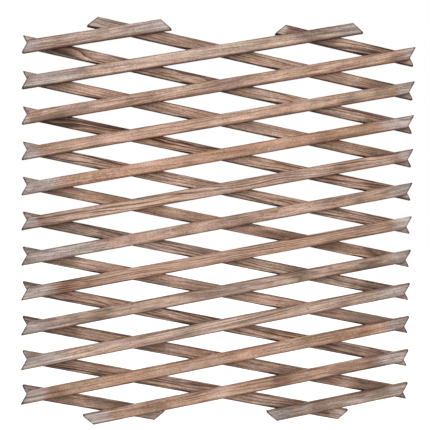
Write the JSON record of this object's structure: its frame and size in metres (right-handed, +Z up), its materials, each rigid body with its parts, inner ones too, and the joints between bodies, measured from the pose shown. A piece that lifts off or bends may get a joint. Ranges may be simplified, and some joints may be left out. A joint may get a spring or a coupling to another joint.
{
  "type": "expanding wooden plant trellis",
  "caption": "Flat expanding lattice of weathered brown wooden strips, crossed in two layers and pinned with nails, that draws out like scissors to support climbing plants.",
  "frame": {"origin": "the panel's middle crossing, on the plane of the back strips' wall side", "axes": "+Z up the panel, +X to the right as seen from the front, +Y towards the wall; the front strips face -Y"},
  "size_m": [0.6908, 0.0122, 0.7127],
  "materials": {
    "front_wood": "dry sawn softwood, browned by heat and greyed by a thin wash, matt",
    "back_wood": "dry sawn softwood, browned by heat, with dark grain, matt",
    "nail_steel": "dull dark wire nail"
  },
  "bodies": {
    "centre_pivot": {"centre_nail": "nail_steel"},
    "front_strip_01": {"front_slat_01": "front_wood", "nails_front_slat_01": "nail_steel"},
    "front_strip_02": {"front_slat_02": "front_wood", "nails_front_slat_02": "nail_steel"},
    "front_strip_03": {"front_slat_03": "front_wood", "nails_front_slat_03": "nail_steel"},
    "front_strip_04": {"front_slat_04": "front_wood", "nails_front_slat_04": "nail_steel"},
    "front_strip_05": {"front_slat_05": "front_wood", "nails_front_slat_05": "nail_steel"},
    "front_strip_06": {"front_slat_06": "front_wood", "nails_front_slat_06": "nail_steel"},
    "front_strip_07": {"front_slat_07": "front_wood", "nails_front_slat_07": "nail_steel"},
    "front_strip_08": {"front_slat_08": "front_wood", "nails_front_slat_08": "nail_steel"},
    "front_strip_09": {"front_slat_09": "front_wood", "nails_front_slat_09": "nail_steel"},
    "front_strip_10": {"front_slat_10": "front_wood", "nails_front_slat_10": "nail_steel"},
    "front_strip_11": {"front_slat_11": "front_wood", "nails_front_slat_11": "nail_steel"},
    "front_strip_12": {"front_slat_12": "front_wood", "nails_front_slat_12": "nail_steel"},
    "front_strip_13": {"front_slat_13": "front_wood", "nails_front_slat_13": "nail_steel"},
    "back_strip_01": {"back_slat_01": "back_wood"},
    "back_strip_02": {"back_slat_02": "back_wood"},
    "back_strip_03": {"back_slat_03": "back_wood"},
    "back_strip_04": {"back_slat_04": "back_wood"},
    "back_strip_05": {"back_slat_05": "back_wood"},
    "back_strip_06": {"back_slat_06": "back_wood"},
    "back_strip_07": {"back_slat_07": "back_wood"},
    "back_strip_08": {"back_slat_08": "back_wood"},
    "back_strip_09": {"back_slat_09": "back_wood"},
    "back_strip_10": {"back_slat_10": "back_wood"},
    "back_strip_11": {"back_slat_11": "back_wood"},
    "back_strip_12": {"back_slat_12": "back_wood"},
    "back_strip_13": {"back_slat_13": "back_wood"}
  },
  "joints": [
    {"name": "spread", "type": "hinge", "parent": "centre_pivot", "child": "front_strip_07", "pos_m": [0, -0.0061, 0], "axis": [0, -1, 0], "range_deg": [-6.9, 34.1]},
    {"name": "pivot_back_strip_07", "type": "hinge", "parent": "centre_pivot", "child": "back_strip_07", "pos_m": [0, -0.0061, 0], "axis": [0, -1, 0], "range_deg": [-34.1, 6.9]},
    {"name": "pivot_back_strip_06", "type": "hinge", "parent": "front_strip_07", "child": "back_strip_06", "pos_m": [0.15711, -0.0061, 0.03026], "axis": [0, -1, 0], "range_deg": [-68.2, 13.8]},
    {"name": "pivot_front_strip_06", "type": "hinge", "parent": "back_strip_07", "child": "front_strip_06", "pos_m": [-0.15711, -0.0061, 0.03026], "axis": [0, -1, 0], "range_deg": [-13.8, 68.2]},
    {"name": "pivot_back_strip_05", "type": "hinge", "parent": "front_strip_07", "child": "back_strip_05", "pos_m": [0.31423, -0.0061, 0.06051], "axis": [0, -1, 0], "range_deg": [-68.2, 13.8]},
    {"name": "pivot_front_strip_05", "type": "hinge", "parent": "back_strip_07", "child": "front_strip_05", "pos_m": [-0.31423, -0.0061, 0.06051], "axis": [0, -1, 0], "range_deg": [-13.8, 68.2]},
    {"name": "pivot_back_strip_08", "type": "hinge", "parent": "front_strip_07", "child": "back_strip_08", "pos_m": [-0.15711, -0.0061, -0.03026], "axis": [0, -1, 0], "range_deg": [-68.2, 13.8]},
    {"name": "pivot_front_strip_08", "type": "hinge", "parent": "back_strip_07", "child": "front_strip_08", "pos_m": [0.15711, -0.0061, -0.03026], "axis": [0, -1, 0], "range_deg": [-13.8, 68.2]},
    {"name": "pivot_back_strip_09", "type": "hinge", "parent": "front_strip_07", "child": "back_strip_09", "pos_m": [-0.31423, -0.0061, -0.06051], "axis": [0, -1, 0], "range_deg": [-68.2, 13.8]},
    {"name": "pivot_front_strip_09", "type": "hinge", "parent": "back_strip_07", "child": "front_strip_09", "pos_m": [0.31423, -0.0061, -0.06051], "axis": [0, -1, 0], "range_deg": [-13.8, 68.2]},
    {"name": "pivot_back_strip_04", "type": "hinge", "parent": "front_strip_05", "child": "back_strip_04", "pos_m": [0.15711, -0.0061, 0.15128], "axis": [0, -1, 0], "range_deg": [-68.2, 13.8]},
    {"name": "pivot_front_strip_04", "type": "hinge", "parent": "back_strip_05", "child": "front_strip_04", "pos_m": [-0.15711, -0.0061, 0.15128], "axis": [0, -1, 0], "range_deg": [-13.8, 68.2]},
    {"name": "pivot_back_strip_03", "type": "hinge", "parent": "front_strip_05", "child": "back_strip_03", "pos_m": [0.31423, -0.0061, 0.18153], "axis": [0, -1, 0], "range_deg": [-68.2, 13.8]},
    {"name": "pivot_front_strip_03", "type": "hinge", "parent": "back_strip_05", "child": "front_strip_03", "pos_m": [-0.31423, -0.0061, 0.18153], "axis": [0, -1, 0], "range_deg": [-13.8, 68.2]},
    {"name": "pivot_back_strip_10", "type": "hinge", "parent": "front_strip_09", "child": "back_strip_10", "pos_m": [-0.15711, -0.0061, -0.15128], "axis": [0, -1, 0], "range_deg": [-68.2, 13.8]},
    {"name": "pivot_front_strip_10", "type": "hinge", "parent": "back_strip_09", "child": "front_strip_10", "pos_m": [0.15711, -0.0061, -0.15128], "axis": [0, -1, 0], "range_deg": [-13.8, 68.2]},
    {"name": "pivot_back_strip_11", "type": "hinge", "parent": "front_strip_09", "child": "back_strip_11", "pos_m": [-0.31423, -0.0061, -0.18153], "axis": [0, -1, 0], "range_deg": [-68.2, 13.8]},
    {"name": "pivot_front_strip_11", "type": "hinge", "parent": "back_strip_09", "child": "front_strip_11", "pos_m": [0.31423, -0.0061, -0.18153], "axis": [0, -1, 0], "range_deg": [-13.8, 68.2]},
    {"name": "pivot_back_strip_02", "type": "hinge", "parent": "front_strip_03", "child": "back_strip_02", "pos_m": [0.15711, -0.0061, 0.2723], "axis": [0, -1, 0], "range_deg": [-68.2, 13.8]},
    {"name": "pivot_front_strip_02", "type": "hinge", "parent": "back_strip_03", "child": "front_strip_02", "pos_m": [-0.15711, -0.0061, 0.2723], "axis": [0, -1, 0], "range_deg": [-13.8, 68.2]},
    {"name": "pivot_back_strip_01", "type": "hinge", "parent": "front_strip_03", "child": "back_strip_01", "pos_m": [0.31423, -0.0061, 0.30255], "axis": [0, -1, 0], "range_deg": [-68.2, 13.8]},
    {"name": "pivot_front_strip_01", "type": "hinge", "parent": "back_strip_03", "child": "front_strip_01", "pos_m": [-0.31423, -0.0061, 0.30255], "axis": [0, -1, 0], "range_deg": [-13.8, 68.2]},
    {"name": "pivot_back_strip_12", "type": "hinge", "parent": "front_strip_11", "child": "back_strip_12", "pos_m": [-0.15711, -0.0061, -0.2723], "axis": [0, -1, 0], "range_deg": [-68.2, 13.8]},
    {"name": "pivot_front_strip_12", "type": "hinge", "parent": "back_strip_11", "child": "front_strip_12", "pos_m": [0.15711, -0.0061, -0.2723], "axis": [0, -1, 0], "range_deg": [-13.8, 68.2]},
    {"name": "pivot_back_strip_13", "type": "hinge", "parent": "front_strip_11", "child": "back_strip_13", "pos_m": [-0.31423, -0.0061, -0.30255], "axis": [0, -1, 0], "range_deg": [-68.2, 13.8]},
    {"name": "pivot_front_strip_13", "type": "hinge", "parent": "back_strip_11", "child": "front_strip_13", "pos_m": [0.31423, -0.0061, -0.30255], "axis": [0, -1, 0], "range_deg": [-13.8, 68.2]}
  ],
  "couplings": [
    {"joint": "pivot_back_strip_07", "follows": "spread", "ratio": -1},
    {"joint": "pivot_back_strip_06", "follows": "spread", "ratio": -2},
    {"joint": "pivot_front_strip_06", "follows": "spread", "ratio": 2},
    {"joint": "pivot_back_strip_05", "follows": "spread", "ratio": -2},
    {"joint": "pivot_front_strip_05", "follows": "spread", "ratio": 2},
    {"joint": "pivot_back_strip_08", "follows": "spread", "ratio": -2},
    {"joint": "pivot_front_strip_08", "follows": "spread", "ratio": 2},
    {"joint": "pivot_back_strip_09", "follows": "spread", "ratio": -2},
    {"joint": "pivot_front_strip_09", "follows": "spread", "ratio": 2},
    {"joint": "pivot_back_strip_04", "follows": "spread", "ratio": -2},
    {"joint": "pivot_front_strip_04", "follows": "spread", "ratio": 2},
    {"joint": "pivot_back_strip_03", "follows": "spread", "ratio": -2},
    {"joint": "pivot_front_strip_03", "follows": "spread", "ratio": 2},
    {"joint": "pivot_back_strip_10", "follows": "spread", "ratio": -2},
    {"joint": "pivot_front_strip_10", "follows": "spread", "ratio": 2},
    {"joint": "pivot_back_strip_11", "follows": "spread", "ratio": -2},
    {"joint": "pivot_front_strip_11", "follows": "spread", "ratio": 2},
    {"joint": "pivot_back_strip_02", "follows": "spread", "ratio": -2},
    {"joint": "pivot_front_strip_02", "follows": "spread", "ratio": 2},
    {"joint": "pivot_back_strip_01", "follows": "spread", "ratio": -2},
    {"joint": "pivot_front_strip_01", "follows": "spread", "ratio": 2},
    {"joint": "pivot_back_strip_12", "follows": "spread", "ratio": -2},
    {"joint": "pivot_front_strip_12", "follows": "spread", "ratio": 2},
    {"joint": "pivot_back_strip_13", "follows": "spread", "ratio": -2},
    {"joint": "pivot_front_strip_13", "follows": "spread", "ratio": 2}
  ]
}
